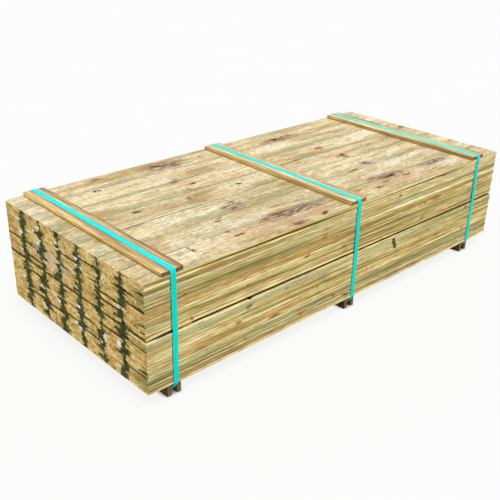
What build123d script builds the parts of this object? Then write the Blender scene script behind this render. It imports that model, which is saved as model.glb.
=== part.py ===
# Strapped bundle of treated pine fence palings: two half packs of boards laid flat, with thin
# spacers between them, battens across the top, grooved bearers beneath and three plastic straps.
# X runs along the palings, Y across the bundle and Z up, from the middle of the ground under it.
import os

from build123d import *

# Palings, the boards themselves
paling_length = 2400.0
paling_width = 150.0
paling_thickness = 15.0
columns = 7
layers_in_half_pack = 16
side_gap = 2.0
end_unevenness = 6.0
end_steps = 7

# Half packs, the lower one pushed towards the front and the upper one towards the back
half_packs = 2
half_pack_push = 2.0

# Spacers, thin laths between the half packs
spacer_width = 90.0
spacer_thickness = 7.0
spacer_shortfall = 62.0
spacer_front_inset = 2.0

# Battens across the top
batten_width = 106.0
batten_thickness = 19.0
batten_end_inset = 8.0

# Bearers beneath, each with a groove that keeps its strap off the ground and a tapered slot at both ends
bearer_width = 70.0
bearer_height = 65.0
bearer_end_inset = 14.0
bearer_arris = 2.0
slot_length = 20.0
slot_land = 4.0

# Straps and the room that they have
strap_width = 25.0
strap_thickness = 1.0
strap_clearance = 0.2
groove_side_room = 1.5
strap_ground_room = 11.0

# Where the straps stand along the bundle
left_strap_inset = 138.0
right_strap_inset = 188.0
middle_strap_shift = 14.0
left_spacer_shift = 42.0
middle_spacer_shift = -6.0

# Sizes that follow from those above
bundle_width = columns * paling_width + (columns - 1) * side_gap
half_pack_height = layers_in_half_pack * paling_thickness
lower_base = bearer_height
lower_top = lower_base + half_pack_height
upper_base = lower_top + spacer_thickness
upper_top = upper_base + half_pack_height
batten_top = upper_top + batten_thickness
batten_half = bundle_width / 2 - batten_end_inset
bearer_length = bundle_width - 2 * bearer_end_inset
slot_start = bearer_length / 2 - slot_length
slot_height = bearer_height - slot_land
groove_width = strap_width + 2 * groove_side_room
groove_depth = strap_ground_room + strap_thickness + strap_clearance
spacer_length = bundle_width - spacer_shortfall
front_face = -bundle_width / 2 - half_pack_push
spacer_front_y = front_face + 2 * half_pack_push + spacer_front_inset + spacer_length / 2

# Each strap station: its name, the strap's place, the spacer's shift from it and the spacer's middle
stations = [
    ("left", left_strap_inset - paling_length / 2, left_spacer_shift, spacer_front_y),
    ("middle", middle_strap_shift, middle_spacer_shift, spacer_front_y),
    ("right", paling_length / 2 - right_strap_inset, 0.0, 0.0),
]

os.makedirs("parts", exist_ok=True)


def save(piece, name):
    piece.part.label = name
    export_step(piece.part, f"parts/{name}.step")


def end_setback(layer, column):
    # Boards are docked square at the left and run out unevenly at the right
    step = (5 * layer + 3 * column) % end_steps
    return end_unevenness * step / (end_steps - 1)


# Layers of palings, counted from the bottom, each with its boards side by side
for layer in range(half_packs * layers_in_half_pack):
    in_lower = layer < layers_in_half_pack
    base = lower_base if in_lower else upper_base
    push = -half_pack_push if in_lower else half_pack_push
    height = base + (layer % layers_in_half_pack) * paling_thickness
    with BuildPart() as paling_layer:
        with BuildSketch(Plane.XY.offset(height)):
            for column in range(columns):
                setback = end_setback(layer, column)
                across = (column - (columns - 1) / 2) * (paling_width + side_gap) + push
                with Locations((-setback / 2, across)):
                    Rectangle(paling_length - setback, paling_width)
        extrude(amount=paling_thickness)
    save(paling_layer, f"paling_layer_{layer + 1:02d}")

for station, strap_x, spacer_shift, spacer_y in stations:
    # Thin lath between the half packs
    with BuildPart() as mid_spacer:
        with BuildSketch(Plane.XY.offset(lower_top)):
            with Locations((strap_x + spacer_shift, spacer_y)):
                Rectangle(spacer_width, spacer_length)
        extrude(amount=spacer_thickness)
    save(mid_spacer, f"mid_spacer_{station}")

    # Flat board across the top, under the strap
    with BuildPart() as top_batten:
        with BuildSketch(Plane.XY.offset(upper_top)):
            with Locations((strap_x, 0)):
                Rectangle(batten_width, 2 * batten_half)
        extrude(amount=batten_thickness)
    save(top_batten, f"top_batten_{station}")

    # Bearer on two feet, with the strap groove between them and a slot that leads into it at each end
    with BuildPart() as bearer:
        with BuildSketch(Plane.XZ.offset(-bearer_length / 2)) as section:
            with Locations((strap_x, bearer_height / 2)):
                Rectangle(bearer_width, bearer_height)
            with Locations((strap_x, groove_depth / 2)):
                Rectangle(groove_width, groove_depth, mode=Mode.SUBTRACT)
            outer_feet = section.vertices().group_by(Axis.Y)[0].sort_by(Axis.X)
            chamfer([outer_feet[0], outer_feet[-1]], length=bearer_arris)
        extrude(amount=bearer_length)
        with BuildSketch(Plane.YZ.offset(strap_x - groove_width / 2)):
            with BuildLine():
                Polyline(
                    (slot_start, 0),
                    (bearer_length / 2, 0),
                    (bearer_length / 2, slot_height),
                    (slot_start, groove_depth),
                    close=True,
                )
            make_face()
            mirror(about=Plane.YZ)
        extrude(amount=groove_width, mode=Mode.SUBTRACT)
    save(bearer, f"bearer_{station}")

    # Strap pulled tight round the batten and both half packs, then through the slots into the groove
    with BuildPart() as strap:
        with BuildSketch(Plane.YZ.offset(strap_x - strap_width / 2)):
            with BuildLine():
                Polyline(
                    (-batten_half, batten_top),
                    (front_face + 2 * half_pack_push, upper_top),
                    (front_face, lower_top),
                    (front_face, lower_base),
                    (-slot_start, groove_depth),
                    (slot_start, groove_depth),
                    (-front_face - 2 * half_pack_push, lower_base),
                    (-front_face, upper_base),
                    (-front_face, upper_top),
                    (batten_half, batten_top),
                    close=True,
                )
            load = make_face()
            offset(load, amount=strap_clearance + strap_thickness, mode=Mode.REPLACE)
            offset(load, amount=strap_clearance, mode=Mode.SUBTRACT)
        extrude(amount=strap_width)
    save(strap, f"strap_{station}")
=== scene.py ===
"""Looks for a strapped bundle of treated pine fence palings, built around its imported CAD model."""
import math

import bpy
import numpy as np
from mathutils import Matrix, Vector


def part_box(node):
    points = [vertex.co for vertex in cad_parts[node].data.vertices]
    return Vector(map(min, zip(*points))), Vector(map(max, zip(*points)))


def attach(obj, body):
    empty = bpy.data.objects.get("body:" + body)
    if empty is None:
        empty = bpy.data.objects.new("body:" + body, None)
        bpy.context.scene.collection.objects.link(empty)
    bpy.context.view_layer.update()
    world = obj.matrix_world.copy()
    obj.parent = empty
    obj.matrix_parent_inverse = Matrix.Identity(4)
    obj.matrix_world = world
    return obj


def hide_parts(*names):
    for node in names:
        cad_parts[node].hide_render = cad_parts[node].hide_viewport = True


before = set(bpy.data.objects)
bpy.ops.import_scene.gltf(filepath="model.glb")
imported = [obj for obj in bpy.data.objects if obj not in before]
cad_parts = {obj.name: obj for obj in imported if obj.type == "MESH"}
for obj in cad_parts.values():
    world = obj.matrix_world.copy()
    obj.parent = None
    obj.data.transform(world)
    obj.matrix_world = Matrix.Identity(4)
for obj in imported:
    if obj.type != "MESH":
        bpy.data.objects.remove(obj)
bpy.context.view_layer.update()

MM = 0.001
COLUMNS = 7
LAYERS = 32
LAYERS_IN_HALF = 16
STATIONS = ("left", "middle", "right")
PALING_WIDTH, PALING_THICKNESS = 150 * MM, 15 * MM
LEFT_STRAP, LEFT_OVERHANG = -1.062, 0.138

# Face kinds, kept on each face so that one wood material can tell them apart
IN_SHADE, WIDE, EDGE, END = -1.0, 0.0, 1.0, 2.0
# Painted shade: how dark the faces inside the stack are painted, which show only in its gaps, and the
# shaded lower corners of the battens and of some side boards
INNER_SHADE = 0.1
EMBOSS_PITCH = 3.2 * MM


def srgb(red, green, blue):
    """A colour given as it shows on a screen, 0 to 255, as linear values for a shader."""
    def linear(value):
        value /= 255
        return value / 12.92 if value <= 0.04045 else ((value + 0.055) / 1.055) ** 2.4
    return (linear(red), linear(green), linear(blue), 1)


def darkened(colour, factor):
    return (*(value * factor for value in colour[:3]), 1)


class Value:
    """An output of a node. Plain arithmetic with it adds further nodes."""

    def __init__(self, paint, socket):
        self.paint, self.socket = paint, socket

    def __add__(self, other):
        return self.paint.calc("ADD", self, other)

    def __sub__(self, other):
        return self.paint.calc("SUBTRACT", self, other)

    def __rsub__(self, other):
        return self.paint.calc("SUBTRACT", other, self)

    def __mul__(self, other):
        return self.paint.calc("MULTIPLY", self, other)


class Paint:
    """One node material, with short calls that add a node and link what is passed to it."""

    def __init__(self, name):
        self.material = bpy.data.materials.new(name)
        self.material.use_nodes = True
        self.tree = self.material.node_tree

    def feed(self, socket, value):
        if isinstance(value, Value):
            self.tree.links.new(value.socket, socket)
        else:
            socket.default_value = value

    def node(self, kind, inputs, output=0, **settings):
        made = self.tree.nodes.new(kind)
        for key, value in settings.items():
            setattr(made, key, value)
        for key, value in inputs.items():
            self.feed(made.inputs[key], value)
        return Value(self, made.outputs[output])

    def attribute(self, name, output):
        return self.node("ShaderNodeAttribute", {}, output, attribute_name=name)

    def split(self, vector):
        return [self.node("ShaderNodeSeparateXYZ", {0: vector}, axis) for axis in range(3)]

    def split_colour(self, colour):
        return [self.node("ShaderNodeSeparateColor", {0: colour}, channel) for channel in range(3)]

    def join(self, x, y, z):
        return self.node("ShaderNodeCombineXYZ", {0: x, 1: y, 2: z})

    def calc(self, operation, *values):
        return self.node("ShaderNodeMath", dict(enumerate(values)), operation=operation)

    def vector(self, operation, a, b):
        return self.node("ShaderNodeVectorMath", {0: a, 1: b}, operation=operation)

    def noise(self, vector, stretch, detail=2, roughness=0.5, distortion=0):
        return self.node("ShaderNodeTexNoise", {
            "Vector": self.vector("MULTIPLY", vector, stretch), "Scale": 1, "Detail": detail,
            "Roughness": roughness, "Distortion": distortion})

    def remap(self, value, low, high, to_low=0, to_high=1):
        inputs = {0: value, 1: low, 2: high, 3: to_low, 4: to_high}
        return self.node("ShaderNodeMapRange", inputs, interpolation_type="SMOOTHSTEP")

    def ramp(self, value, *stops):
        colour = self.node("ShaderNodeValToRGB", {0: value})
        elements = colour.socket.node.color_ramp.elements
        while len(elements) < len(stops):
            elements.new(0.5)
        for element, stop in zip(elements, stops):
            element.position, element.color = stop
        return colour

    def blend(self, factor, a, b, mode="MIX"):
        return self.node("ShaderNodeMix", {0: factor, 6: a, 7: b}, 2, data_type="RGBA", blend_type=mode)

    def shade(self, colour, amount):
        """The colour made lighter or darker by a factor."""
        return self.blend(1, colour, amount, "MULTIPLY")

    def finish(self, colour, roughness, gloss, height=None, strength=1, depth=0):
        """Feeds the shader, with bumps of a depth where a height is given."""
        shader = self.tree.nodes["Principled BSDF"]
        self.feed(shader.inputs["Base Color"], colour)
        self.feed(shader.inputs["Roughness"], roughness)
        shader.inputs["Specular IOR Level"].default_value = gloss
        if height:
            inputs = {"Height": height, "Strength": strength, "Distance": depth}
            self.feed(shader.inputs["Normal"], self.node("ShaderNodeBump", inputs))
        return self.material


class WoodPaint(Paint):
    """What every wood material starts from: rings, streaks and knots in a board's own space."""

    def __init__(self, name):
        super().__init__(name)
        kind = self.attribute("kind", "Fac")
        self.is_edge = self.remap(kind, 0.4, 0.6)
        self.is_end = self.remap(kind, 1.4, 1.6)
        self.is_in_shade = self.remap(kind, -0.4, -0.6)
        self.green, self.amber, self.light = self.split_colour(self.attribute("tone", "Color"))
        seed = self.attribute("tone", "Alpha")
        pith = self.attribute("grain", "Vector")
        self.place = self.vector("ADD", pith, self.join(seed * 53, seed * 31, seed * 17))
        self.broad = self.noise(self.place, (0.9, 26, 75), 3, 0.55)
        self.streak = self.noise(self.place, (1.5, 66, 125), 2, 0.55)
        self.fine = self.noise(self.place, (9, 150, 260), 3, 0.62)
        self.slow = self.noise(self.place, (0.9, 5, 22))
        self.lines = self.broad * 0.55 + self.streak * 0.45
        sway = self.noise(self.place, (1.1, 6, 6))
        across, up = self.split(pith)[1:]
        reach = self.calc("SQRT", across * across + up * up) + sway * 0.03
        self.ring = self.calc("POWER", self.calc("FRACT", reach * 170), 2.5)
        swayed = self.vector("ADD", self.place, self.join(0, sway * 0.02, 0))
        cells = {"Vector": self.vector("MULTIPLY", swayed, (3.1, 8, 8)), "Scale": 1}
        from_knot = self.node("ShaderNodeTexVoronoi", cells, "Distance")
        chance = self.node("ShaderNodeTexVoronoi", cells, "Color")
        chosen = self.remap(self.split_colour(chance)[0], 0.7, 0.74)
        rough_edge = from_knot + self.fine * 0.1
        self.knot_core = chosen * self.remap(rough_edge, 0.17, 0.11)
        self.knot_halo = chosen * self.remap(rough_edge, 0.4, 0.12)


class PinePaint(WoodPaint):
    """Sawn treated pine: pale wide faces, yellower edges and tan ends with green bands at the joints."""

    def __init__(self):
        super().__init__("paling_pine")
        self.is_wide = 1 - self.is_edge
        self.patchy = self.remap(self.slow, 0.34, 0.66)
        self.along, self.across, self.up = self.split(self.attribute("local", "Vector"))
        marks = self.attribute("marks", "Color")
        self.knot_mark, self.stain_mark, self.green_mark = self.split_colour(marks)
        self.warm_mark = self.attribute("marks", "Alpha")
        ragged = self.noise(self.place, (22, 110, 150), 4, 0.68)
        self.ragged = self.remap(ragged, 0.36, 0.64) * 1.3 + 0.35
        self.grit = self.noise(self.place, (42, 84, 110), 3, 0.65)
        self.clump = self.noise(self.place, (14, 20, 34), 4, 0.62)
        layer_lines = self.noise(self.place, (9, 14, 120), 3, 0.6)
        self.speck = layer_lines * 0.2 + self.clump * 0.44 + self.grit * 0.36

        wood = self.sawn_faces()
        for add_to in (self.board_tints, self.joint_tints, self.fine_grain, self.painted_marks):
            wood = add_to(wood)
        wood = self.green_bands(self.blend(self.is_end, wood, self.docked_end()))
        # Painted shade on the faces inside the stack, which show in its gaps, and on the shaded corners of
        # some side boards
        wood = self.shade(wood, self.remap(self.is_in_shade, 0, 1, 1, INNER_SHADE))
        roughness = self.remap(self.fine, 0.2, 0.8, 0.72, 0.92)
        self.finish(wood, roughness, 0.25, self.fine - self.ring * 0.35, strength=0.35, depth=0.6 * MM)

    def sawn_faces(self):
        """Pale mottled wide faces and yellower edges that are streaked along the grain."""
        mottle = self.noise(self.place, (2.6, 9, 9), 5, 0.6, 0.4)
        face = self.ramp(
            mottle * 0.68 + self.lines * 0.32, (0.4, srgb(184, 160, 114)), (0.47, srgb(219, 199, 155)),
            (0.53, srgb(234, 217, 177)), (0.61, srgb(247, 235, 204)))
        swathe = self.noise(self.place, (0.7, 18, 38))
        edge = self.ramp(
            self.broad * 0.2 + self.streak * 0.35 + swathe * 0.45, (0.42, srgb(144, 129, 68)),
            (0.47, srgb(211, 191, 117)), (0.53, srgb(245, 225, 153)), (0.59, srgb(255, 246, 194)))
        return self.blend(self.is_edge, face, edge)

    def board_tints(self, wood):
        """Tints that a whole board has, uneven along its length, and darker edges by the left end."""
        amber = self.amber * self.remap(self.streak, 0.62, 0.38) * (self.patchy * 0.55 + 0.25)
        wood = self.blend(amber, wood, srgb(218, 158, 88))
        green = self.green * (self.patchy * 0.45 + 0.55)
        wood = self.blend(green * 0.7, wood, srgb(160, 164, 110))
        wood = self.shade(wood, self.light * 0.31 + 0.82)
        by_end = self.remap(self.along, 0.17, 0.07) * self.is_edge
        return self.shade(wood, 1 - by_end * 0.11)

    def joint_tints(self, wood):
        """Damp green-grey tints along the joints of the wide faces, and blotches over them."""
        from_middle = self.calc("ABSOLUTE", self.across)
        by_joint = self.remap(from_middle, 0.03, 0.074) * self.patchy * self.is_wide
        wood = self.blend(by_joint * 0.45, wood, srgb(172, 166, 120))
        seam = self.remap(from_middle, 0.0705, 0.0735) * self.is_wide * (self.patchy * 0.45 + 0.3)
        wood = self.blend(seam, wood, srgb(112, 98, 58))
        blotch = self.noise(self.place, (4, 15, 15), 5, 0.66)
        dull = self.remap(blotch, 0.52, 0.66) * self.is_wide
        wood = self.blend(dull * 0.5, wood, srgb(206, 172, 124))
        bright = self.remap(blotch, 0.42, 0.3) * self.is_wide
        return self.blend(bright * 0.25, wood, srgb(248, 236, 206))

    def fine_grain(self, wood):
        """Rings, fine grain that is coarser on the wide faces, short brown dashes and knots."""
        wood = self.shade(wood, 1.03 - self.ring * 0.12)
        on_face = self.fine * 0.45 + self.grit * 0.55
        fine = on_face + self.is_edge * (self.fine - on_face)
        wood = self.shade(wood, self.remap(fine, 0.37, 0.63, 0.71, 1.25))
        dashes = self.noise(self.place, (16, 85, 150), 3, 0.6)
        rust = self.remap(dashes, 0.49, 0.58) * self.amber * self.is_edge
        wood = self.blend(rust * 0.58, wood, srgb(186, 116, 54))
        dash_colour = self.blend(self.is_edge, srgb(152, 116, 74), srgb(178, 118, 62))
        wood = self.blend(self.remap(dashes, 0.58, 0.66) * 0.55, wood, dash_colour)
        wood = self.blend(self.knot_halo * 0.45, wood, srgb(200, 146, 88))
        return self.blend(self.knot_core * (0.75 - self.is_edge * 0.35), wood, srgb(124, 82, 48))

    def mark(self, value, low, high):
        """A painted mark from one strength to another, broken up so that no edge is smooth."""
        return self.remap(value * self.ragged, low, high)

    def painted_marks(self, wood):
        """Marks on the boards that show most, with the painted shadow beside the straps and the painted
        shade in the chips.
        """
        warm = self.blend(self.is_edge, srgb(212, 172, 128), srgb(216, 156, 86))
        knot_rim = self.blend(self.is_edge, srgb(170, 116, 66), srgb(192, 134, 72))
        knot_heart = self.blend(self.is_edge, srgb(74, 48, 32), srgb(142, 96, 52))
        for value, low, high, share, colour in (
            (self.green_mark, 0.2, 0.9, 0.66, srgb(160, 162, 122)),
            (self.warm_mark, 0.2, 0.9, 0.6, warm),
            (self.stain_mark, 0.25, 0.7, 0.62, srgb(158, 132, 112)),
            # Stains, and the painted shadow line beside the straps
            (self.stain_mark, 0.72, 1.02, 0.8, srgb(86, 72, 66)),
            # Painted shade inside the chips only
            (self.stain_mark, 1.66, 2.1, 0.9, srgb(30, 27, 24)),
            (self.knot_mark, 0.22, 0.55, 0.72, knot_rim),
            (self.knot_mark, 0.55, 0.85, 0.92, knot_heart),
        ):
            wood = self.blend(self.mark(value, low, high) * share, wood, colour)
        return wood

    def docked_end(self):
        """Mottled golden end grain with faint lines along the layers, and a bruise on some boards."""
        cut = self.ramp(
            self.speck, (0.4, srgb(154, 113, 50)), (0.47, srgb(210, 171, 91)),
            (0.53, srgb(238, 204, 122)), (0.6, srgb(255, 244, 190)))
        cut = self.blend(self.amber * 0.26, cut, srgb(220, 160, 84))
        cut = self.blend(self.green * 0.22, cut, srgb(160, 158, 96))
        cut = self.shade(cut, self.light * 0.13 + 0.93)
        cut = self.blend(self.mark(self.stain_mark, 0.2, 0.9) * 0.66, cut, srgb(212, 202, 190))
        return self.blend(self.mark(self.green_mark, 0.2, 0.9) * 0.72, cut, srgb(126, 126, 66))

    def green_bands(self, wood):
        """Green preservative that soaked into the ends beside the joints and along some layers."""
        far_soak, near_soak, low_soak = self.split_colour(self.attribute("soak", "Color"))
        far_line, near_line, far_fleck = self.split_colour(self.attribute("teeth", "Color"))
        near_fleck = self.attribute("teeth", "Alpha")
        ragged_edge = self.clump * 0.04 + self.grit * 0.06 - 0.05
        from_far = PALING_WIDTH / 2 - self.across + ragged_edge
        from_near = self.across + PALING_WIDTH / 2 + ragged_edge
        from_low = self.up + self.grit * 0.004 + 0.0055
        past_far, past_near = from_far - far_soak, from_near - near_soak
        past = self.calc("MINIMUM", past_far, past_near)
        past_line = self.calc("MINIMUM", from_far - far_line, from_near - near_line)
        line_width = self.remap(past_line, -0.06, 0.004, 0.0125, 0.004)
        line_band = self.remap(from_low - line_width, 0.001, -0.0014)
        line_band = line_band * self.remap(past_line, 0.004, -0.004)
        low_band = self.remap(from_low - low_soak, 0.001, -0.0014)
        lines = self.calc("MAXIMUM", line_band, low_band)
        band = self.calc("MAXIMUM", self.remap(past, 0.002, -0.003), lines)
        wood = self.blend(self.remap(past, 0.024, 0) * self.is_end * 0.42, wood, srgb(132, 122, 62))
        green = self.ramp(
            self.speck, (0.41, srgb(8, 16, 0)), (0.5, srgb(43, 57, 9)), (0.6, srgb(106, 117, 42)))
        wood = self.blend(band * self.is_end * 0.96, wood, green)
        fleck = self.calc("MAXIMUM", self.fleck(far_fleck, past_far), self.fleck(near_fleck, past_near))
        spots = self.remap(self.noise(self.place, (60, 30, 70), 2, 0.6), 0.44, 0.48)
        return self.blend(fleck * spots * self.is_end, wood, srgb(253, 250, 243))

    def fleck(self, flag, past_edge):
        """White preservative on the edge of a band, where a board's flag says so."""
        return flag * self.remap(self.calc("ABSOLUTE", past_edge - 0.003), 0.017, 0.011)


def timber_paint(name, pale, middle, dark, edge, end, brown_side=None):
    """Rough sawn timber of one kind: streaked faces, a tint of its own on the edges and dark ends."""
    paint = WoodPaint(name)
    wood = paint.ramp(paint.lines, (0.41, dark), (0.5, middle), (0.59, pale))
    if brown_side:
        across = paint.split(paint.attribute("local", "Vector"))[1]
        browned = across + (paint.slow + paint.fine) * 0.03
        brown = paint.remap(browned, 0.03, -0.002) * paint.green
        wood = paint.blend(brown * paint.remap(paint.lines, 0.58, 0.42, 0.45, 1), wood, brown_side)
    # Edges, with grime on some
    edge_wood = paint.shade(edge, paint.remap(paint.lines, 0.4, 0.55, 0.7, 1.08))
    wane, grime = paint.split_colour(paint.attribute("marks", "Color"))[:2]
    grime = grime * paint.remap(paint.slow, 0.4, 0.6, 0.5, 1.5)
    edge_wood = paint.shade(edge_wood, 1 - paint.calc("MINIMUM", grime, 1) * 0.5)
    wood = paint.blend(paint.is_edge, wood, edge_wood)
    # Rings, fine grain, knots and the dark of bark along a worn corner
    wood = paint.shade(wood, 1.06 - paint.ring * 0.22)
    wood = paint.shade(wood, paint.remap(paint.fine, 0.37, 0.63, 0.7, 1.22))
    wood = paint.shade(wood, paint.light * 0.4 + 0.8)
    wood = paint.blend(paint.knot_core * 0.75, wood, darkened(dark, 0.45))
    bark = paint.noise(paint.place, (30, 120, 120), 3, 0.7)
    bark_mask = paint.remap(bark * 0.9 + wane - 0.45, 0.25, 0.7)
    wood = paint.blend(bark_mask * 0.8, wood, darkened(dark, 0.55))
    # Sawn ends
    pores = paint.noise(paint.place, (70, 120, 120), 3, 0.65)
    cut = paint.shade(end, paint.remap(pores, 0.25, 0.75, 0.6, 1.35))
    # Ends darkened by the tone's second value; on the laths in the gap this is painted shade
    cut = paint.shade(cut, 1 - paint.amber)
    cut = paint.shade(cut, 1.1 - paint.ring * 0.3)
    wood = paint.blend(paint.is_end, wood, cut)
    # Painted shade on the battens' undersides and lower corners, the dark line of their contact shadow on
    # the boards
    wood = paint.shade(wood, paint.remap(paint.is_in_shade, 0, 1, 1, INNER_SHADE))
    roughness = paint.remap(paint.fine, 0.2, 0.8, 0.74, 0.94)
    height = paint.fine + bark - paint.ring * 0.4
    return paint.finish(wood, roughness, 0.25, height, strength=0.5, depth=0.8 * MM)


def strap_paint():
    """Embossed plastic strapping, bright blue-green, with a painted highlight on its run over the batten,
    painted shade below the pack and paler scuffs.
    """
    paint = Paint("strap_plastic")
    run = paint.attribute("grain", "Vector")
    along, across = paint.split(run)[:2]
    drift = paint.noise(run, (6, 40, 1))
    shaded_under_pack, raised = paint.split_colour(paint.attribute("marks", "Color"))[1:]
    # A brighter, bluer colour on the run over the batten, a painted highlight
    colour = paint.blend(
        raised,
        paint.ramp(drift, (0.3, srgb(0, 226, 206)), (0.5, srgb(0, 233, 215)), (0.7, srgb(0, 240, 223))),
        paint.ramp(drift, (0.3, srgb(16, 242, 238)), (0.5, srgb(20, 247, 243)), (0.7, srgb(24, 251, 248))))
    scuff = paint.remap(paint.noise(run, (18, 420, 1), 3, 0.7), 0.62, 0.72)
    colour = paint.blend(scuff * 0.25, colour, srgb(90, 246, 236))
    waves = 2 * math.pi / EMBOSS_PITCH
    diamond = paint.calc("SINE", (along + across) * waves) * paint.calc("SINE", (along - across) * waves)
    colour = paint.shade(colour, diamond * 0.05 + 0.97)
    # Painted shade where the strap runs below the pack
    colour = paint.shade(colour, 1 - shaded_under_pack * 0.58)
    roughness = paint.remap(drift, 0.2, 0.8, 0.42, 0.56)
    return paint.finish(colour, roughness, 0.06, diamond, strength=0.3, depth=0.3 * MM)


class Piece:
    """Collects swept grids of points and turns them into one mesh object with its attributes."""

    WIDTHS = {"grain": 3, "local": 3, "tone": 4, "marks": 4, "soak": 4, "teeth": 4}

    def __init__(self):
        self.points, self.faces, self.kinds, self.count = [], [], [], 0
        self.notes = {name: [] for name in self.WIDTHS}

    def add(self, grid, ring_kinds, notes, closed=False):
        """Joins a grid of stations by ring points into a tube, with flat ends unless it is closed."""
        stations, ring = grid.shape[:2]
        index = np.arange(stations * ring).reshape(stations, ring) + self.count
        ahead = np.roll(index, -1, axis=0) if closed else index[1:]
        here = index if closed else index[:-1]
        quads = np.stack([here, np.roll(here, -1, 1), np.roll(ahead, -1, 1), ahead], -1).reshape(-1, 4)
        self.faces += quads.tolist()
        self.kinds += list(np.tile(ring_kinds, len(here)))
        if not closed:
            self.faces += [index[0, ::-1].tolist(), index[-1].tolist()]
            self.kinds += [END, END]
        self.points.append(grid.reshape(-1, 3))
        self.count += stations * ring
        for name, width in self.WIDTHS.items():
            value = np.asarray(notes.get(name, np.zeros(width)), dtype=float)
            self.notes[name].append(np.broadcast_to(value, (stations, ring, width)).reshape(-1, width))

    def finish(self, name, material, node, slot):
        mesh = bpy.data.meshes.new(name)
        mesh.from_pydata(np.concatenate(self.points).tolist(), [], self.faces)
        for note, width in self.WIDTHS.items():
            kind, key = ("FLOAT_VECTOR", "vector") if width == 3 else ("FLOAT_COLOR", "color")
            layer = mesh.attributes.new(note, kind, "POINT")
            layer.data.foreach_set(key, np.concatenate(self.notes[note]).astype(np.float32).ravel())
        layer = mesh.attributes.new("kind", "FLOAT", "FACE")
        layer.data.foreach_set("value", np.asarray(self.kinds, dtype=np.float32))
        mesh.materials.append(material)
        made = bpy.data.objects.new(name, mesh)
        bpy.context.scene.collection.objects.link(made)
        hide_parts(node)
        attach(made, "root")


def add_piece(name, material, node, slot, grid, kinds, notes, closed=False):
    piece = Piece()
    piece.add(grid, kinds, notes, closed)
    piece.finish(name, material, node, slot)


def stacked(*parts):
    """Points or notes from parts that fit together, such as a column, a row and a number."""
    return np.stack(np.broadcast_arrays(*parts), -1)


def wander(along, rng, longest, amount):
    """A smooth wavy line of values along a length."""
    total = np.zeros_like(along)
    for part in range(4):
        length = longest / 1.9 ** part
        total += np.sin(along * 2 * math.pi / length + rng.uniform(0, 2 * math.pi)) / 1.6 ** part
    return amount * total / 2


def board_ring(width, thickness, arris, across_top=1, across_low=1, up_edge=1,
               top=WIDE, low=WIDE, near=EDGE, far=EDGE, low_arris=None, low_corner=EDGE):
    """Points round a board's section, from -0.5 to 0.5 each way, and the kind of face after each."""
    a, b = arris / width, arris / thickness
    c, d = (low_arris or arris) / width, (low_arris or arris) / thickness
    under_points = [(u, -0.5) for u in np.linspace(-0.5 + c, 0.5 - c, across_low + 1)]
    far_points = [(0.5, v) for v in np.linspace(-0.5 + d, 0.5 - b, up_edge + 1)]
    over_points = [(u, 0.5) for u in np.linspace(0.5 - a, -0.5 + a, across_top + 1)]
    near_points = [(-0.5, v) for v in np.linspace(0.5 - b, -0.5 + d, up_edge + 1)]
    kinds = [low] * across_low + [low_corner] + [far] * up_edge + [EDGE]
    kinds += [top] * across_top + [EDGE] + [near] * up_edge + [low_corner]
    ring = np.array(under_points + far_points + over_points + near_points)
    return ring[:, 0], ring[:, 1], kinds


def board_grid(along, near, far, low, high, u, v):
    """Grid of a board that runs along the first axis between four wavy edges."""
    sides = np.broadcast_arrays(along, near, far, low, high)
    x, near, far, low, high = (side[:, None] for side in sides)
    y = near + (u + 0.5) * (far - near)
    z = low + (v + 0.5) * (high - low)
    return stacked(x, y, z)


def board_boxes(node):
    """Lowest and highest corners of the boards in a layer of palings, from the near side to the back."""
    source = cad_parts[node]
    points = np.array([source.matrix_world @ vertex.co for vertex in source.data.vertices])
    sides = np.unique(points[:, 1].round(5))
    slack = 0.1 * MM
    boxes = []
    for near, far in sides.reshape(-1, 2):
        board = points[(points[:, 1] > near - slack) & (points[:, 1] < far + slack)]
        boxes.append((board.min(0), board.max(0)))
    return boxes


# Marks on the top by kind: place along and across, length, width and any turn in degrees
TOP_MARKS = {
    "knot": [
        (-395, 462, 100, 40, -15), (-320, 430, 60, 26, 10), (-836, 363, 22, 40), (-815, 360, 16, 36),
        (-420, 158, 44, 22), (-828, 40, 56, 22), (-552, 18, 24, 26), (-246, 16, 34, 22),
        (-470, -200, 50, 16, 10), (-608, -257, 66, 26, 30), (-664, -379, 26, 34), (-642, -434, 60, 18),
        (-884, -412, 16, 60), (-345, -375, 70, 26), (-235, -425, 50, 24, 10), (-190, -500, 60, 24, 25),
        (390, 412, 170, 34), (468, 144, 64, 40, 20), (222, 80, 30, 16), (480, -17, 52, 52),
        (336, -218, 70, 18, 10), (420, -388, 150, 34), (330, -432, 60, 16), (250, -455, 70, 18),
        (500, -430, 60, 16), (1176, 116, 44, 24),
    ],
    "stain": [
        (-372, 450, 270, 130, -12), (-468, 238, 80, 55, 30), (-450, 98, 130, 30),
        (-456, -175, 150, 105, 20), (-300, -396, 520, 84), (-360, -505, 130, 30), (-144, -407, 60, 44),
        (420, 405, 320, 90), (470, -40, 90, 40, -30), (480, -179, 60, 70), (420, -384, 260, 80),
        (780, -401, 240, 60),
    ],
    "green": [
        (-1165, 438, 110, 70), (-1165, 283, 110, 80), (-1165, 122, 110, 70), (-1165, -34, 110, 70),
        (-1165, -201, 110, 50), (-740, 225, 420, 50), (-640, 400, 420, 60), (-700, 105, 560, 36),
        (420, 240, 900, 60), (380, 85, 700, 30), (-420, -190, 760, 60), (520, -190, 560, 60),
    ],
    "warm": [
        (-930, -265, 60, 46), (-948, -323, 60, 50), (-200, -480, 130, 80, 20), (-560, -440, 640, 110),
        (640, 372, 420, 30), (430, 150, 120, 60), (440, 0, 260, 70), (432, -251, 90, 40),
        (468, -500, 90, 40), (420, -450, 420, 110),
    ],
}
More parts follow.
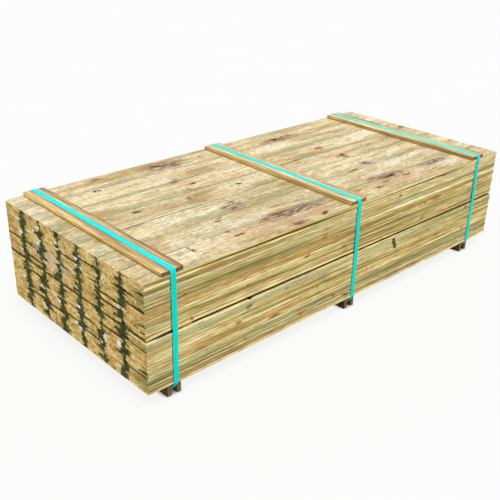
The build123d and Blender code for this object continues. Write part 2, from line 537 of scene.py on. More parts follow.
# Marks on the near side: place along and height, length, width and any turn
NEAR_MARKS = {
    "knot": [
        (-1011, 447, 18, 14), (-216, 452, 44, 22), (-327, 389, 40, 17, 10), (-677, 370, 18, 16),
        (-70, 361, 56, 14), (-58, 336, 44, 16), (-977, 326, 14, 18), (-735, 211, 44, 18),
        (-245, 215, 24, 18), (-520, 162, 74, 14), (-904, 152, 24, 10), (-352, 108, 40, 14),
        (-128, 124, 22, 18), (-41, 97, 66, 16, -10), (-691, 118, 18, 14), (690, 534, 70, 10),
        (328, 509, 22, 16), (645, 421, 110, 12), (552, 413, 36, 10), (543, 338, 50, 17),
        (698, 200, 44, 14), (702, 182, 14, 24), (110, 188, 14, 18), (943, 166, 30, 14),
        (728, 290, 16, 16), (949, 290, 20, 14), (608, 251, 14, 20), (513, 84, 60, 10),
    ],
    "stain": [
        (-672, 266, 44, 28), (-449, 275, 36, 12), (328, 405, 20, 10),
    ],
    "warm": [
        (-875, 527, 130, 22), (-575, 532, 140, 12), (-216, 450, 70, 34), (-700, 420, 640, 12),
        (-333, 414, 190, 34), (-310, 390, 80, 22), (-225, 339, 240, 10), (-332, 248, 34, 20),
        (-860, 208, 330, 20), (-430, 166, 230, 12), (-347, 117, 70, 38), (-119, 128, 56, 28),
        (720, 530, 210, 18), (674, 484, 180, 9), (143, 492, 180, 12), (600, 338, 420, 14),
        (77, 164, 130, 16), (560, 236, 200, 12), (1140, 170, 110, 16),
    ],
}
# Marks on the left end: place across and height, width and height of the mark
END_MARKS = {
    "stain": [
        (260, 395, 130, 70), (98, 385, 80, 110), (170, 440, 90, 50),
    ],
    "green": [
        (-533, 120, 150, 90), (-533, 262, 120, 50), (-533, 375, 120, 40), (-533, 490, 160, 110),
        (500, 460, 80, 150), (60, 540, 120, 40),
    ],
}
MARK_CHANNELS = ("knot", "stain", "green", "warm")
STAIN_AND_SHADE = MARK_CHANNELS.index("stain")
MARK_FADE = 0.9


def paint_marks(places, marks):
    """How much of each kind of mark there is at each point of a surface."""
    painted = np.zeros(places.shape[:-1] + (len(MARK_CHANNELS),))
    for kind, spots in marks.items():
        channel = painted[..., MARK_CHANNELS.index(kind)]
        for x, y, length, width, *turn in spots:
            angle = math.radians(sum(turn))
            dx = places[..., 0] - x * MM
            dy = places[..., 1] - y * MM
            run = (dx * math.cos(angle) + dy * math.sin(angle)) / (length * MM / 2)
            side = (dy * math.cos(angle) - dx * math.sin(angle)) / (width * MM / 2)
            np.maximum(channel, np.exp(-MARK_FADE * (run ** 2 + side ** 2)), out=channel)
    return painted


# Stretches of the top where a joint has opened: joint from the near side, start, end and gap
OPEN_JOINTS = [
    (0, -1200, -1110, 3), (0, -1010, -380, 2.2), (0, 60, 340, 2.6), (0, 600, 960, 1.6),
    (1, -760, -250, 1.8), (1, 240, 560, 2.6), (2, -1010, -470, 3.8), (2, -300, -40, 1.5),
    (2, 300, 920, 2.2), (3, -900, -540, 1.6), (3, -540, -340, 4), (3, 60, 880, 2),
    (4, -700, -200, 1.5), (4, 500, 960, 1.3), (5, -180, 10, 3), (5, 380, 900, 2),
]
CLOSED_GAP, CAD_GAP = 0.7 * MM, 2 * MM
GAP_TAPER = 0.06


def joint_gap(joint, along):
    """How wide the joint between two columns is along the boards that show."""
    gap = np.full_like(along, CLOSED_GAP)
    for number, start, end, width in OPEN_JOINTS:
        if number == joint:
            from_start = np.clip((along - start * MM) / GAP_TAPER, 0, 1)
            from_end = np.clip((end * MM - along) / GAP_TAPER, 0, 1)
            gap = np.maximum(gap, width * MM * from_start * from_end)
    return gap


UPPER_SINK, LOWER_LIFT = -4.5 * MM, 1.2 * MM
# Start and length of the bays between the straps
BAYS = ((-1, 0.96), (0.07, 0.89))


def pack_bend(along, layer):
    """How far the packs sink or lift where they run out past the left strap, which closes the gap there."""
    past = np.clip((LEFT_STRAP - along) / LEFT_OVERHANG, 0, 1) ** 2.5
    return past * (UPPER_SINK if layer >= LAYERS_IN_HALF else LOWER_LIFT)


def bay_bow(along):
    """From 0 at the straps to 1 in the middle of each bay between them."""
    left, right = (np.sin(np.clip((along - start) / length, 0, 1) * math.pi) for start, length in BAYS)
    return np.maximum(left, right) ** 0.7


# Left edges of the straps, and the reach and darkness of the painted shadow line beside them
STRAP_EDGES = [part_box(f"strap_{station}")[0][0] for station in STATIONS]
EDGE_SHADOW_REACH, EDGE_SHADOW_DARK = np.array([-2, 0, 4, 7]) * MM, (0, 1, 0.8, 0)
EDGE_SHADOW_PLACES = np.subtract.outer(STRAP_EDGES, EDGE_SHADOW_REACH).ravel()


def strap_edge_shadow(along):
    """A narrow painted shadow line on the near boards along the left edge of each strap."""
    return np.max([np.interp(edge - along, EDGE_SHADOW_REACH, EDGE_SHADOW_DARK) for edge in STRAP_EDGES], axis=0)


# Chips out of the near edges of four boards, each a little left of the one below it, painted dark inside as
# shade
CHIP_LAYERS = range(11, 15)
CHIP_TOP, CHIP_STEP, CHIP_DEPTH = 316 * MM, 6 * MM, 5 * MM
# A chip's outline, tapered on its left, and how far up the edge it reaches
CHIP_REACH, CHIP_SHAPE, CHIP_RISE = np.array([-26, -6, 3, 5]) * MM, (0, 1, 1, 0), 0.8
# The chips are painted near black inside as shade, a mark this strong being darker than any stain
CHIP_SHADE_MARK = 3


def chip_places(layer):
    """Places along a near board where its chip begins, is deep and ends."""
    if layer not in CHIP_LAYERS:
        return np.array([])
    return CHIP_TOP + CHIP_STEP * (CHIP_LAYERS[-1] - layer) + CHIP_REACH


def edge_chip(along, layer):
    """How deep a near board's chip is along it, from 0 to 1."""
    if layer not in CHIP_LAYERS:
        return np.zeros_like(along)
    return np.interp(along, chip_places(layer), CHIP_SHAPE)


# Gaps on the near side: under the top board, under a loose layer, and between the half packs by a strap
TOP_GAP = 2.6 * MM
LOOSE_LAYER, LOOSE_GAP = 3, 1.5 * MM
STRAP_GAP_PLACE, STRAP_GAP_REACH = -1.075, 0.1
STRAP_GAP_OVER, STRAP_GAP_UNDER = 1.6 * MM, 2 * MM
NOTCH_PLACE, NOTCH_REACH, NOTCH_DEPTH = -0.667, 0.009, 7 * MM


def near_gaps(along, layer):
    """How far a near board's underside is raised and its top lowered, where a gap shows."""
    by_strap = np.clip(1 - np.abs(along - STRAP_GAP_PLACE) / STRAP_GAP_REACH, 0, 1)
    notch = np.exp(-((along - NOTCH_PLACE) / NOTCH_REACH) ** 4)
    raised = {LOOSE_LAYER: LOOSE_GAP, LAYERS_IN_HALF: STRAP_GAP_OVER * by_strap}
    lowered = {
        LAYERS - 2: TOP_GAP * bay_bow(along),
        LAYERS_IN_HALF - 1: STRAP_GAP_UNDER * by_strap + NOTCH_DEPTH * notch,
    }
    return raised.get(layer, 0), lowered.get(layer, 0)


# Tones that a board can have: how green, how amber and how light it is
TONES = {
    "cream": (0.05, 0.12, 0.95),
    "straw": (0.16, 0.16, 0.66),
    "tan": (0.16, 0.48, 0.46),
    "amber": (0.02, 0.95, 0.52),
    "olive": (0.62, 0.12, 0.3),
    "green": (0.95, 0.02, 0.48),
    "brown": (0.3, 0.55, 0.12),
}
# The least of each that a top board has, and the most that is added
TOP_TONE, TOP_TONE_SPREAD = (0.04, 0, 0.56), (0.34, 0.22, 0.34)
HIDDEN_TONE_SHARES = (0.14, 0.28, 0.22, 0.07, 0.14, 0.07, 0.08)
# The near side's boards from the top layer down
NEAR_SIDE = (
    "straw cream olive tan olive olive cream olive amber amber straw straw olive tan tan cream "
    "cream green green straw tan straw straw straw amber cream green green green brown brown straw"
).split()
PALE_COLUMN, PALE_LAYERS = 4, range(16, 24)

# Widths of the green bands on the near and far side of a joint, and how they vary
BAND_WIDTHS, BAND_SCATTER = ((11, 17), (19, 27)), 10
BULGES, BULGE_WIDTHS, BULGE_LAYERS = 5, (8, 20), 0.9
FAINT_CHANCE, FAINT_SHARE, TOP_SHARE = 0.06, 0.3, 0.5
GREEN_LINE_WIDTHS = (9, 12)
# Past the outer sides no band begins
NO_SOAK = -1
# Boards, by column and layer, with a green line right across under them
GREEN_UNDER = {
    (2, 28), (3, 26), (0, 24), (6, 22), (1, 22), (1, 20), (5, 18), (5, 13), (1, 12), (3, 7), (5, 6),
    (4, 6), (2, 6), *((column, LAYERS_IN_HALF) for column in range(COLUMNS)),
}
# Lines that run part of the way, from the board's far joint and from its near joint
GREEN_STARTS = {
    (0, 27): (70, 0), (1, 27): (0, 65), (2, 24): (0, 70), (5, 22): (110, 0), (3, 22): (85, 0),
    (2, 20): (0, 45), (1, 18): (0, 60), (2, 10): (110, 0), (5, 9): (0, 75), (4, 4): (85, 0),
    (2, 4): (0, 65), (5, 4): (60, 0), (0, 29): (40, 45), (0, 20): (0, 55), (0, 18): (0, 35),
    (0, 11): (45, 0), (0, 6): (0, 70),
}
# Boards with white flecks at their near joint and at their far joint
NEAR_FLECKS = {
    (6, 28), (6, 24), (6, 18), (6, 9), (5, 29), (5, 27), (5, 25), (5, 24), (5, 10), (5, 4), (5, 3), (4, 28),
    (4, 26), (4, 9), (3, 27), (3, 25), (3, 12), (3, 6), (3, 5), (2, 6), (1, 21), (1, 10), (1, 9),
}
FAR_FLECKS = {(5, 1), (2, 28), (2, 25), (1, 26), (1, 9), (1, 8)}


def band_widths(rng):
    """Width of the green band on the near and the far side of each joint, for each layer."""
    widths = np.zeros((COLUMNS - 1, LAYERS, 2))
    layers = np.arange(LAYERS)
    for joint in range(COLUMNS - 1):
        usual = [rng.uniform(*limits) for limits in BAND_WIDTHS]
        for side in range(2):
            width = usual[side] + rng.normal(0, BAND_SCATTER, LAYERS)
            for place in rng.integers(0, LAYERS - 3, BULGES):
                width += rng.uniform(*BULGE_WIDTHS) * np.exp(-((layers - place) / BULGE_LAYERS) ** 2)
            width[rng.random(LAYERS) < FAINT_CHANCE] *= FAINT_SHARE
            width[LAYERS - 1 - int(rng.integers(0, 2)):] *= TOP_SHARE
            widths[joint, :, side] = np.maximum(width, 0) * MM
    return widths


# How many boards come from one log, and where its pith is across and up from them
LOG_BOARDS, PITH_ACROSS, PITH_UP, PITH_ABOVE = (2, 5), (-0.09, 0.09), (-0.1, -0.02), 0.03


def sawn_groups(rng):
    """For each board, what it shares with those sawn from the same log: lowest layer, pith and seed."""
    groups = []
    for _ in range(COLUMNS):
        column = []
        while len(column) < LAYERS:
            size = int(rng.integers(*LOG_BOARDS))
            across, up = rng.uniform(*PITH_ACROSS), rng.uniform(*PITH_UP)
            if rng.random() < 0.5:
                up = PITH_ABOVE - up
            column += [(len(column), (across, up), rng.random())] * size
        groups.append(column)
    return groups


# How far boards stand in at the left end: on the near side, elsewhere and at most
NEAR_SCATTER, INNER_SCATTER, MOST_SCATTER = 1.8, 0.6, 4.5
# Points along a board that shows well and one on the far side, and where a hidden one bends
FINE_POINTS, FAR_POINTS = 301, 121
BEND_PLACES = (-1.165, -1.13, -1.095, LEFT_STRAP, 0)
# Corners of boards that show, of hidden ones and, worn, under the side boards, where some are painted in
# shade
ARRIS, HIDDEN_ARRIS, WORN_ARRIS, SHADOW_CHANCE = 0.6 * MM, 0.3 * MM, (0.2, 1.1), 0.28
LAYER_ROOM = 0.04 * MM
NEAR_BOW, TOP_BOWS = 3.4, (0.2, 0.8)
# How far the outer sides stand in and side boards sink, as mean and spread
SIDE_SHIFT, SIDE_SINK = (0.3, 0.9), (0, 0.35)
# Longest wave and amount of the outer sides, of every board's top and of the side boards' tops
SIDE_WAVE, CREST_WAVE, SINK_WAVE = (1.3, 0.6 * MM), (0.9, 0.1 * MM), (0.7, 0.45 * MM)
# Ring points past these belong to the near side and to the top
NEAR_POINTS, TOP_POINTS = -0.49, 0.49


class Paling:
    """One board of the stack: its section, its wavy grid and what is painted on it."""

    def __init__(self, column, layer, low, high):
        self.column, self.layer, self.low, self.high = column, layer, low, high
        self.middle = (low + high) / 2
        self.on_top = layer == LAYERS - 1
        self.on_near, self.on_far = column == 0, column == COLUMNS - 1
        self.on_side = self.on_near or self.on_far

    def cut(self, rng):
        """Sets the places along the board, and the ring points and face kinds of its section."""
        scatter = abs(rng.normal(0, NEAR_SCATTER if self.on_near else INNER_SCATTER))
        start, end = self.low[0] + min(scatter, MOST_SCATTER) * MM, self.high[0]
        size = (PALING_WIDTH, PALING_THICKNESS)
        # Walls inside the stack are of the kind that is painted in shade
        walls = {
            "low": WIDE if self.layer == 0 else IN_SHADE,
            "near": EDGE if self.on_near else IN_SHADE,
            "far": EDGE if self.on_far else IN_SHADE,
        }
        if self.on_top:
            along = np.linspace(start, end, FINE_POINTS)
            ring = board_ring(*size, ARRIS, 24, 2, 3, **walls)
        elif self.on_side:
            along = np.linspace(start, end, FINE_POINTS if self.on_near else FAR_POINTS)
            # Some worn lower corners of the side boards are painted in shade
            corner = IN_SHADE if rng.random() < SHADOW_CHANCE else EDGE
            ring = board_ring(*size, ARRIS, 1, 1, 3, top=IN_SHADE, **walls,
                              low_arris=rng.uniform(*WORN_ARRIS) * MM, low_corner=corner)
        else:
            along = np.array([start, *BEND_PLACES, end])
            ring = board_ring(*size, HIDDEN_ARRIS, top=IN_SHADE, **walls)
        if self.on_near:
            along = np.unique(np.concatenate([along, EDGE_SHADOW_PLACES, chip_places(self.layer)]).round(5))
        self.along = along
        self.u, self.v, self.kinds = ring

    def sides(self, rng):
        """The near and far sides along the board."""
        along = self.along
        near, far = np.full_like(along, self.low[1]), np.full_like(along, self.high[1])
        if not (self.on_top or self.on_side):
            return near, far

        def unevenness():
            return abs(rng.normal(*SIDE_SHIFT)) * MM + np.abs(wander(along, rng, *SIDE_WAVE))

        if self.on_near:
            near = near + unevenness()
        else:
            near = near + (joint_gap(self.column - 1, along) - CAD_GAP) / 2
        if self.on_far:
            far = far - unevenness()
        else:
            far = far - (joint_gap(self.column, along) - CAD_GAP) / 2
        return near, far

    def heights(self, rng):
        """The underside and the top along the board."""
        along = self.along
        base = self.low[2] + self.lift + LAYER_ROOM
        crest = self.high[2] + self.lift - LAYER_ROOM - np.abs(wander(along, rng, *CREST_WAVE))
        if self.on_top:
            bow = bay_bow(along) * (NEAR_BOW if self.on_near else rng.uniform(*TOP_BOWS)) * MM
            base, crest = base + bow, crest + bow
        if self.on_side:
            crest = crest - abs(rng.normal(*SIDE_SINK)) * MM - np.abs(wander(along, rng, *SINK_WAVE))
        if self.on_near:
            raised, lowered = near_gaps(along, self.layer)
            base, crest = base + raised, crest - lowered
        return base, crest

    def shape(self, rng):
        """Sets the board's grid."""
        self.lift = pack_bend(self.along, self.layer)
        near, far = self.sides(rng)
        base, crest = self.heights(rng)
        self.grid = board_grid(self.along, near, far, base, crest, self.u, self.v)
        if self.on_near:
            chipped = (self.u < NEAR_POINTS) & (self.v < CHIP_RISE - 0.5)
            self.chip = edge_chip(self.along, self.layer)[:, None] * chipped
            self.grid[..., 1] += CHIP_DEPTH * self.chip

    def tone(self, rng):
        if self.on_near:
            return TONES[NEAR_SIDE[LAYERS - 1 - self.layer]]
        tone = list(TONES.values())[rng.choice(len(TONES), p=HIDDEN_TONE_SHARES)]
        if self.on_top:
            tone = TOP_TONE + TOP_TONE_SPREAD * rng.random(3)
        if self.column == PALE_COLUMN and self.layer in PALE_LAYERS:
            tone = TONES["cream"]
        return tone

    def marks(self):
        marks = np.zeros(self.grid.shape[:2] + (len(MARK_CHANNELS),))
        if self.on_top:
            marks = paint_marks(self.grid, TOP_MARKS)
        if self.on_near:
            side = paint_marks(self.grid[..., [0, 2]], NEAR_MARKS)
            # Painted shadow beside the straps and painted shade inside the chips, carried in the stain
            # channel
            dark = np.maximum(strap_edge_shadow(self.along)[:, None], CHIP_SHADE_MARK * self.chip)
            side[..., STAIN_AND_SHADE] = np.maximum(side[..., STAIN_AND_SHADE], dark)
            side *= (self.u < NEAR_POINTS)[:, None]
            marks = np.maximum(marks * (self.v > TOP_POINTS)[:, None], side)
        marks[0] = np.maximum(marks[0], paint_marks(self.grid[0][:, 1:], END_MARKS))
        return marks

    def notes(self, group, bands, rng):
        """What the material reads at each point of the board."""
        board = column, layer = self.column, self.layer
        bottom, pith, seed = group
        log_base = self.low[2] - (layer - bottom) * PALING_THICKNESS
        grain = self.grid - np.array([0, self.middle[1], log_base])
        grain[..., 1:] -= pith
        tone = self.tone(rng)
        far_run, near_run = (run * MM if run else NO_SOAK for run in GREEN_STARTS.get(board, (0, 0)))
        return {
            "grain": grain,
            "local": self.grid - (self.low[0], *self.middle[1:]) - self.lift[:, None, None] * (0, 0, 1),
            "tone": (*tone, seed),
            "soak": (
                NO_SOAK if self.on_far else bands[column, layer, 0],
                NO_SOAK if self.on_near else bands[column - 1, layer, 1],
                rng.uniform(*GREEN_LINE_WIDTHS) * MM if board in GREEN_UNDER else NO_SOAK, 0),
            "teeth": (far_run, near_run, float(board in FAR_FLECKS), float(board in NEAR_FLECKS)),
            "marks": self.marks(),
        }


def add_layers(material):
    rng = np.random.default_rng(seed=41)
    bands = band_widths(rng)
    groups = sawn_groups(rng)
    for layer in range(LAYERS):
        piece = Piece()
        node = f"paling_layer_{layer + 1:02d}"
        for column, (low, high) in enumerate(board_boxes(node)):
            board = Paling(column, layer, low, high)
            board.cut(rng)
            board.shape(rng)
            piece.add(board.grid, board.kinds, board.notes(groups[column][layer], bands, rng))
        piece.finish(f"palings_{layer + 1:02d}", material, node, "paling_pine")


def crosswise(grid):
    """Turns a grid that runs along the first axis so that it runs across the bundle."""
    return grid[..., [1, 0, 2]] * (-1, 1, 1)


def end_round(along, radius):
    """How far a rounded end drops below the flat, for places measured from one end to the other."""
    from_end = np.minimum(along - along[0], along[-1] - along)
    short = np.clip(radius - from_end, 0, radius)
    return radius - np.sqrt(radius ** 2 - short ** 2)


def crosswise_stations(start, end, count, radius):
    """Places along a piece, closer together where its ends are rounded."""
    inner = np.linspace(start + radius, end - radius, count)
    step = radius * np.array([0, 0.08, 0.25, 0.55])
    return np.concatenate([start + step, inner, (end - step)[::-1]])


# How brown each batten's right side is, how dark its ends are and how light it is
BATTEN_TONES = {"left": (0.85, 0.5, 0.5), "middle": (0.1, 0.36, 0.72), "right": (0.15, 0.46, 0.66)}
BATTEN_GRIME = {"left": 0.08, "middle": 0.48, "right": 0.8}
BATTEN_ROUND, BATTEN_ARRIS, BATTEN_LOW_ARRIS = 3.2 * MM, 1 * MM, 3.4 * MM
WORN_WIDTH, WORN_DEPTH = 14 * MM, 3 * MM
SIDE_ROOM, BATTEN_SEAT = 0.3 * MM, 0.1 * MM


def add_battens(material):
    rng = np.random.default_rng(seed=7)
    for station in STATIONS:
        node = f"top_batten_{station}"
        low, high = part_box(node)
        middle = (low + high) / 2
        along = crosswise_stations(low[1], high[1], 150, BATTEN_ROUND)
        # The underside and the wide lower corners are painted in shade, the batten's contact shadow on the
        # boards
        u, v, kinds = board_ring(high[0] - low[0], high[2] - low[2], BATTEN_ARRIS, 18, 2, 4, low=IN_SHADE,
                                 low_arris=BATTEN_LOW_ARRIS, low_corner=IN_SHADE)
        right = -high[0] + SIDE_ROOM + np.abs(wander(along, rng, 0.5, 1.6 * MM))
        left = -low[0] - SIDE_ROOM - np.abs(wander(along, rng, 0.6, 1 * MM))
        crest = high[2] - end_round(along, BATTEN_ROUND)
        grid = board_grid(along, right, left, low[2] + BATTEN_SEAT, crest, u, v)
        worn = np.clip(1 - (grid[..., 1] - right[:, None]) / WORN_WIDTH, 0, 1)
        wave = np.clip(0.55 + wander(along, rng, 0.35, 0.7), 0, 1)[:, None]
        waste = worn * wave * (grid[..., 2] > middle[2])
        grid[..., 2] -= waste ** 2 * WORN_DEPTH
        pith = (0, -middle[0] + rng.uniform(-0.03, 0.03), low[2] - rng.uniform(0.03, 0.09))
        notes = {
            "grain": grid - pith,
            "local": grid - (low[1], -middle[0], middle[2]),
            "tone": (*BATTEN_TONES[station], rng.random()),
            "marks": stacked(waste, BATTEN_GRIME[station], 0, 0),
        }
        add_piece(f"batten_{station}", material, node, "batten_board", crosswise(grid), kinds, notes)


# How dark the ends of each lath are painted; the ends in the gap between the half packs are painted dark as
# shade there
LATH_END_SHADE = {"left": 0.05, "middle": 0.85, "right": 0.85}
LATH_SEAT = 0.05 * MM


def add_laths(material):
    rng = np.random.default_rng(seed=19)
    for station in STATIONS:
        node = f"mid_spacer_{station}"
        low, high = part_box(node)
        middle = (low + high) / 2
        along = np.linspace(low[1], high[1], 60)
        u, v, kinds = board_ring(high[0] - low[0], high[2] - low[2], 0.6 * MM, 6, 6, 2)
        right = -high[0] + np.abs(wander(along, rng, 0.4, 1.2 * MM))
        left = -low[0] - np.abs(wander(along, rng, 0.4, 1.2 * MM))
        grid = board_grid(along, right, left, low[2] + LATH_SEAT, high[2] - LATH_SEAT, u, v)
        notes = {
            "grain": grid - (0, -middle[0] + 0.02, low[2] - 0.05),
            "local": grid - (low[1], -middle[0], middle[2]),
            "tone": (0, LATH_END_SHADE[station], 0.5, rng.random()),
        }
        add_piece(f"lath_{station}", material, node, "spacer_lath", crosswise(grid), kinds, notes)


def refine(outline, step):
    """Adds points along the sides of an outline so that none is further from the next than a step."""
    dense, kinds = [], []
    for (y0, z0), (y1, z1) in zip(outline, outline[1:] + outline[:1]):
        count = max(1, round(math.hypot(y1 - y0, z1 - z0) / step))
        kind = EDGE if abs(z1 - z0) > abs(y1 - y0) else WIDE
        for part in range(count):
            dense.append((y0 + (y1 - y0) * part / count, z0 + (z1 - z0) * part / count))
            kinds.append(kind)
    return np.array(dense), kinds


# The strap's groove along each bearer and the tapered slots that lead into it, as in the CAD model
GROOVE_HALF, GROOVE_TOP = 14 * MM, 12.2 * MM
SLOT_LENGTH, SLOT_LAND = 20 * MM, 4 * MM
FOOT_ARRIS, BEARER_ARRIS, BEARER_ROUND = 2 * MM, 1 * MM, 2 * MM
BEARER_STEP = 6 * MM


def bearer_outline(half, top):
    """A bearer's section with its groove, from the left foot round to the left side."""
    return [
        (-half + FOOT_ARRIS, 0), (-GROOVE_HALF - FOOT_ARRIS, 0), (-GROOVE_HALF, FOOT_ARRIS),
        (-GROOVE_HALF, GROOVE_TOP), (GROOVE_HALF, GROOVE_TOP), (GROOVE_HALF, FOOT_ARRIS),
        (GROOVE_HALF + FOOT_ARRIS, 0), (half - FOOT_ARRIS, 0), (half, FOOT_ARRIS),
        (half, top - BEARER_ARRIS), (half - BEARER_ARRIS, top), (-half + BEARER_ARRIS, top),
        (-half, top - BEARER_ARRIS), (-half, FOOT_ARRIS),
    ]


def raise_slots(grid, along, ring, top):
    """Lifts the roof of the groove into a tapered slot at both ends."""
    in_groove = np.abs(ring[:, 0]) < GROOVE_HALF + MM / 10
    in_groove &= (ring[:, 1] > FOOT_ARRIS / 2) & (ring[:, 1] < top / 2)
    from_end = np.minimum(along - along[0], along[-1] - along)
    roof = np.interp(from_end, [0, SLOT_LENGTH], [top - SLOT_LAND, GROOVE_TOP])[:, None]
    share = (grid[..., 2] - FOOT_ARRIS) / (GROOVE_TOP - FOOT_ARRIS)
    grid[..., 2] = np.where(in_groove, FOOT_ARRIS + share * (roof - FOOT_ARRIS), grid[..., 2])


def add_bearers(material):
    rng = np.random.default_rng(seed=23)
    for station in STATIONS:
        node = f"bearer_{station}"
        low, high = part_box(node)
        half, top = (high[0] - low[0]) / 2, high[2]
        ring, kinds = refine(bearer_outline(half, top), BEARER_STEP)
        along = crosswise_stations(low[1], high[1], 110, BEARER_ROUND)
        grid = stacked(along[:, None], ring[:, 0], ring[:, 1])
        towards_side = np.clip(np.abs(grid[..., 1]) / half, 0, 1) ** 6
        rough = np.abs(wander(along, rng, 0.3, 0.9 * MM)) + end_round(along, BEARER_ROUND)
        grid[..., 1] -= np.sign(grid[..., 1]) * towards_side * rough[:, None]
        raise_slots(grid, along, ring, top)
        notes = {
            "grain": grid - np.array([0, rng.uniform(-0.02, 0.02), rng.uniform(-0.03, 0.09)]),
            "local": grid,
            "tone": (0, 0, rng.uniform(0.4, 0.6), rng.random()),
        }
        grid = grid - (0, (low[0] + high[0]) / 2, 0)
        add_piece(f"bearer_block_{station}", material, node, "bearer_timber", crosswise(grid), kinds, notes)


# A strap's thickness, rounded edges and room above what it wraps, and the points at a bend
STRAP_SKIN, STRAP_EDGE, STRAP_SEAT, BEND_POINTS = 0.95 * MM, 0.3 * MM, 0.25 * MM, 7
# How far below the pack the strap's painted shade grows to full
UNDER_PACK_SHADE_REACH = 8 * MM


def strap_bends(station):
    """Corners across and up that a strap is pulled round, with the radius in millimetres of each bend."""
    batten_low, batten_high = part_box(f"top_batten_{station}")
    bearer_low, bearer_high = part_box(f"bearer_{station}")
    lower_low, lower_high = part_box("paling_layer_01")
    upper_low, upper_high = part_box(f"paling_layer_{LAYERS}")
    gap_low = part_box(f"paling_layer_{LAYERS_IN_HALF}")[1][2]
    gap_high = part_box(f"paling_layer_{LAYERS_IN_HALF + 1}")[0][2]
    return [
        (batten_high[1], batten_high[2], 6), (batten_low[1], batten_high[2], 6),
        (upper_low[1], upper_high[2], 12), (lower_low[1], gap_low, 30), (lower_low[1], lower_low[2], 8),
        (bearer_low[1] + SLOT_LENGTH, GROOVE_TOP, 3), (bearer_high[1] - SLOT_LENGTH, GROOVE_TOP, 3),
        (lower_high[1], lower_low[2], 8), (upper_high[1], gap_high, 30), (upper_high[1], upper_high[2], 12),
    ]


def rounded_path(bends):
    """A closed path through rounded corners, with the outward direction at every point."""
    path = []
    corners = [np.array(bend[:2]) for bend in bends]
    for number, corner in enumerate(corners):
        before, after = corners[number - 1], corners[(number + 1) % len(corners)]
        into = (corner - before) / np.linalg.norm(corner - before)
        out = (after - corner) / np.linalg.norm(after - corner)
        turn = math.acos(max(-1, min(1, float(into @ out))))
        set_back = bends[number][2] * MM * math.tan(turn / 2)
        a, b = corner - into * set_back, corner + out * set_back
        for share in np.linspace(0, 1, BEND_POINTS):
            path.append((1 - share) ** 2 * a + 2 * share * (1 - share) * corner + share ** 2 * b)
    path = np.array(path)
    ahead = np.roll(path, -1, 0) - np.roll(path, 1, 0)
    ahead /= np.linalg.norm(ahead, axis=1)[:, None]
    return path, stacked(ahead[:, 1], -ahead[:, 0])


def add_straps(material):
    pack_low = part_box("paling_layer_01")[0][2]
    pack_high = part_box(f"paling_layer_{LAYERS}")[1][2]
    for station in STATIONS:
        node = f"strap_{station}"
        low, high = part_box(node)
        batten_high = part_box(f"top_batten_{station}")[1][2]
        path, outward = rounded_path(strap_bends(station))
        half = (high[0] - low[0]) / 2
        flat, third = half - STRAP_EDGE, half / 3
        ring = np.array([
            (-flat, STRAP_SKIN), (-half, STRAP_SKIN / 2), (-flat, 0), (-third, 0), (third, 0), (flat, 0),
            (half, STRAP_SKIN / 2), (flat, STRAP_SKIN), (third, STRAP_SKIN), (-third, STRAP_SKIN),
        ])
        lift = STRAP_SEAT + ring[:, 1]
        y = path[:, :1] + outward[:, :1] * lift
        z = path[:, 1:] + outward[:, 1:] * lift
        x = (low[0] + high[0]) / 2 + ring[:, 0]
        steps = np.linalg.norm(np.diff(path, axis=0), axis=1)
        run = np.concatenate([[0], np.cumsum(steps)])[:, None]
        # Painted shade on the strap where it runs below the pack
        shaded_under_pack = np.clip((pack_low - z) / UNDER_PACK_SHADE_REACH, 0, 1)
        # Painted highlight on the strap's run over the batten
        raised = np.clip((z - pack_high) / (batten_high - pack_high), 0, 1)
        notes = {"grain": stacked(run, ring[:, 0], 0), "marks": stacked(0, shaded_under_pack, raised, 0)}
        grid, kinds = stacked(x, y, z), [EDGE] * len(ring)
        add_piece(f"band_{station}", material, node, "strap_plastic", grid, kinds, notes, closed=True)


FLOOR_HALF = 30
SHADOW_REACH = 0.03
SKY_LEVEL, SUN_LEVEL, SUN_SPREAD = 0.62, 1.55, 35
TO_SUN = (-0.12, -0.3, 0.92)


def seen_directly(paint):
    """1 for a ray from the camera, or one that a glossy or clear surface passes on, and 0 for others."""
    rays = ("Camera", "Glossy", "Transmission")
    camera, glossy, clear = (paint.node("ShaderNodeLightPath", {}, f"Is {ray} Ray") for ray in rays)
    return paint.calc("MAXIMUM", paint.calc("MAXIMUM", camera, glossy), clear)


def add_stage():
    """A pale paper floor that shows nearly white, with a soft shadow."""
    mesh = bpy.data.meshes.new("floor")
    corners = [(-1, -1), (1, -1), (1, 1), (-1, 1)]
    mesh.from_pydata([(x * FLOOR_HALF, y * FLOOR_HALF, 0) for x, y in corners], [], [(0, 1, 2, 3)])
    paint = Paint("floor_paper")
    cloud = paint.noise(paint.node("ShaderNodeTexCoord", {}, "Object"), (1.5, 1.5, 1.5))
    tone = paint.ramp(cloud, (0.3, srgb(227, 227, 226)), (0.7, srgb(231, 231, 230)))
    mesh.materials.append(paint.finish(tone, 0.95, 0))
    surface = paint.tree.nodes["Material Output"].inputs["Surface"]
    paper = Value(paint, surface.links[0].from_socket)
    glow = paint.node("ShaderNodeEmission", {"Color": (1, 1, 1, 1), "Strength": 1})
    open_air = paint.node("ShaderNodeAmbientOcclusion", {"Distance": SHADOW_REACH}, "AO", samples=8)
    share = seen_directly(paint) * paint.remap(open_air, 0.4, 0.9, 0.04, 0.85)
    paint.feed(surface, paint.node("ShaderNodeMixShader", {0: share, 1: paper, 2: glow}))
    floor = bpy.data.objects.new("floor", mesh)
    bpy.context.scene.collection.objects.link(floor)


class WorldPaint(Paint):
    """The same short calls for the nodes of the world."""

    def __init__(self, world):
        world.use_nodes = True
        self.tree = world.node_tree


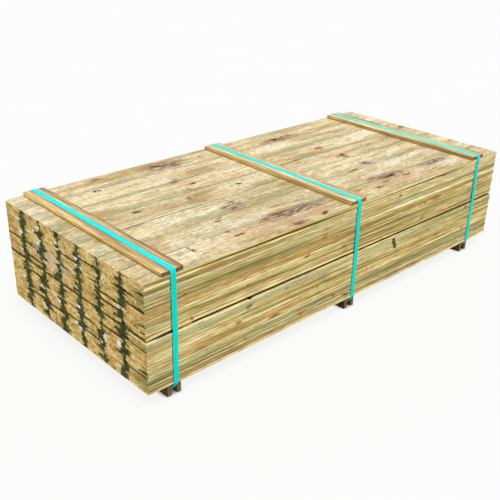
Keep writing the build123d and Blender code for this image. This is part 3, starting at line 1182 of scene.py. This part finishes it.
def add_light():
    """A white sky that lights less than it shows, and a wide soft sun."""
    world = bpy.data.worlds.new("studio")
    bpy.context.scene.world = world
    paint = WorldPaint(world)
    background = paint.tree.nodes["Background"]
    background.inputs["Color"].default_value = (1, 1, 1, 1)
    paint.feed(background.inputs["Strength"], paint.remap(seen_directly(paint), 0, 1, SKY_LEVEL, 1))
    data = bpy.data.lights.new("key", "SUN")
    data.energy = SUN_LEVEL
    data.angle = math.radians(SUN_SPREAD)
    key = bpy.data.objects.new("key", data)
    key.rotation_mode = "QUATERNION"
    key.rotation_quaternion = Vector(TO_SUN).to_track_quat("Z", "Y")
    bpy.context.scene.collection.objects.link(key)


# The camera's azimuth, elevation and roll, its place and its lens, fitted to the pack's corners
CAMERA_ANGLES = (-43.44, 25.81, 1.47)
CAMERA_PLACE = (-2.5546, -2.515, 1.852)
CAMERA_LENS, CAMERA_SENSOR, CAMERA_CLIP = 54.14, 36, 200


def add_camera():
    azimuth, elevation, roll = (math.radians(angle) for angle in CAMERA_ANGLES)
    ground = math.cos(elevation)
    back = Vector((math.sin(azimuth) * ground, -math.cos(azimuth) * ground, math.sin(elevation)))
    level = Vector((0, 0, 1)).cross(back).normalized()
    rise = back.cross(level)
    right = level * math.cos(roll) + rise * math.sin(roll)
    up = rise * math.cos(roll) - level * math.sin(roll)
    data = bpy.data.cameras.new("camera")
    data.sensor_width = CAMERA_SENSOR
    data.lens = CAMERA_LENS
    data.clip_end = CAMERA_CLIP
    camera = bpy.data.objects.new("camera", data)
    place = Matrix((right, up, back)).transposed().to_4x4()
    place.translation = Vector(CAMERA_PLACE)
    camera.matrix_world = place
    bpy.context.scene.collection.objects.link(camera)
    bpy.context.scene.camera = camera


add_layers(PinePaint().material)
add_battens(timber_paint(
    "batten_board", pale=srgb(240, 214, 164), middle=srgb(220, 191, 140), dark=srgb(178, 144, 96),
    edge=srgb(252, 214, 126), end=srgb(172, 138, 84), brown_side=srgb(158, 122, 82)))
# The laths' pale end colour is painted light for the left lath's end, which sits in shade; the middle and
# right ends are painted dark as shade
add_laths(timber_paint(
    "spacer_lath", pale=srgb(190, 140, 90), middle=srgb(160, 108, 64), dark=srgb(120, 78, 46),
    edge=srgb(170, 112, 66), end=srgb(222, 172, 108)))
add_bearers(timber_paint(
    "bearer_timber", pale=srgb(134, 108, 66), middle=srgb(108, 84, 48), dark=srgb(76, 56, 30),
    edge=srgb(95, 71, 38), end=srgb(126, 106, 66)))
add_straps(strap_paint())
add_stage()
add_light()
add_camera()
bpy.context.scene.view_settings.view_transform = "Standard"
